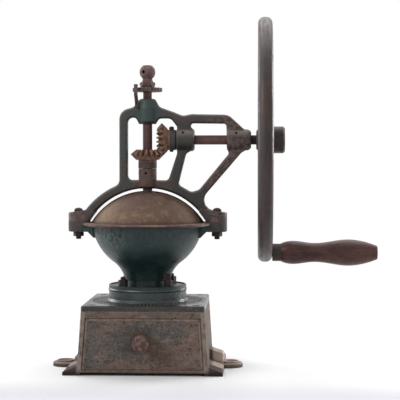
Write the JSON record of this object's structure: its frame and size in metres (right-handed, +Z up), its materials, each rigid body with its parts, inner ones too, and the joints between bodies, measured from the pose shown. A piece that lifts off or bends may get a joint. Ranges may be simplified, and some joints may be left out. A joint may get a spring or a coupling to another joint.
{
  "type": "poppy seed mill",
  "caption": "Hand cranked table mill: boxed base with a drawer, round hopper with a two-part dome lid, yoke frame with bevel gears, upright spindle and a large spoked crank wheel.",
  "frame": {"origin": "on the table, midway between the two screw-down holes, under the spindle's axis", "axes": "+X along the crank shaft towards the wheel, the drawer opens towards -Y, +Z up along the spindle"},
  "size_m": [0.3891, 0.2912, 0.4176],
  "materials": {
    "base_cast_iron": "rusted old paint on a cast box",
    "plate_cast_iron": "dark worn paint on a ribbed casting",
    "hopper_cast_iron": "glossy dark teal paint, worn to rust",
    "lid_sheet": "bronze-brown lacquered sheet with rust marks",
    "frame_cast_iron": "grey-green paint worn to rust",
    "wheel_cast_iron": "dark painted casting, dull",
    "gear_cast_iron": "orange-brown rust film",
    "burr_iron": "bare ground iron",
    "shaft_steel": "turned steel, brown film",
    "screw_steel": "turned steel, dark film",
    "disc_steel": "dark steel with rust film",
    "spring_steel": "dull spring steel",
    "steel_nuts": "dark rusted steel",
    "steel_bolts": "dark rusted steel",
    "steel_screws": "dark steel",
    "ferrule_steel": "turned steel ring, brown film",
    "grip_wood": "dark red-brown varnished wood, worn",
    "drawer_front_iron": "rusted painted plate",
    "drawer_sheet": "tinned sheet",
    "knob_brass": "dull turned brass"
  },
  "bodies": {
    "mill_body": {"base_box": "base_cast_iron", "top_plate": "plate_cast_iron", "plate_screws": "steel_screws", "hopper": "hopper_cast_iron", "hopper_studs": "steel_screws", "hopper_nuts": "steel_nuts", "lid_rear_half": "lid_sheet", "lid_screws": "steel_screws", "yoke_frame": "frame_cast_iron", "clamp_bolts": "steel_bolts", "clamp_nuts": "steel_nuts", "outer_burr": "burr_iron", "lower_bridge": "frame_cast_iron", "bridge_screws": "steel_screws", "thrust_spring": "spring_steel", "spring_pawl": "spring_steel", "pawl_screw": "steel_screws"},
    "drive": {"crank_shaft": "shaft_steel", "flywheel": "wheel_cast_iron", "wheel_key": "steel_screws", "drive_gear": "gear_cast_iron", "gear_pin": "steel_screws", "handle_pin": "steel_bolts"},
    "grip": {"handle_ferrule": "ferrule_steel", "handle_grip": "grip_wood"},
    "gear_body": {"driven_gear": "gear_cast_iron"},
    "thrust": {"thrust_disc": "shaft_steel"},
    "adjuster": {"adjusting_screw": "screw_steel", "notched_disc": "disc_steel", "lock_nut": "steel_nuts"},
    "grinding_spindle": {"spindle": "shaft_steel", "feather_key": "steel_screws", "inner_burr": "burr_iron", "burr_nut": "steel_nuts"},
    "lid": {"lid_front_half": "lid_sheet"},
    "drawer": {"drawer_front": "drawer_front_iron", "drawer_body": "drawer_sheet", "drawer_knob": "knob_brass", "knob_nut": "steel_nuts"}
  },
  "joints": [
    {"name": "wheel_spin", "type": "hinge", "parent": "mill_body", "child": "drive", "pos_m": [0, 0, 0.272], "axis": [1, 0, 0], "continuous": true},
    {"name": "handle_spin", "type": "hinge", "parent": "drive", "child": "grip", "pos_m": [0, 0, 0.1374], "axis": [1, 0, 0], "continuous": true},
    {"name": "driven_gear_spin", "type": "hinge", "parent": "mill_body", "child": "gear_body", "pos_m": [0, 0, 0], "axis": [0, 0, 1], "continuous": true},
    {"name": "thrust_slide", "type": "slide", "parent": "mill_body", "child": "thrust", "axis": [0, 0, 1], "range_m": [-0.003, 0], "deforming": ["thrust_spring"]},
    {"name": "adjuster_turn", "type": "hinge", "parent": "thrust", "child": "adjuster", "pos_m": [0, 0, 0], "axis": [0, 0, 1], "range_deg": [-720, 0]},
    {"name": "spindle_spin", "type": "hinge", "parent": "thrust", "child": "grinding_spindle", "pos_m": [0, 0, 0], "axis": [0, 0, 1], "continuous": true},
    {"name": "lid_turn", "type": "hinge", "parent": "mill_body", "child": "lid", "pos_m": [0, 0, 0], "axis": [0, 0, 1], "range_deg": [0, 165]},
    {"name": "drawer_slide", "type": "slide", "parent": "mill_body", "child": "drawer", "axis": [0, -1, 0], "range_m": [0, 0.1]}
  ],
  "couplings": [
    {"joint": "driven_gear_spin", "follows": "wheel_spin", "ratio": 1},
    {"joint": "spindle_spin", "follows": "wheel_spin", "ratio": 1},
    {"joint": "adjuster_turn", "follows": "thrust_slide", "rad_per_m": 4188.8}
  ]
}
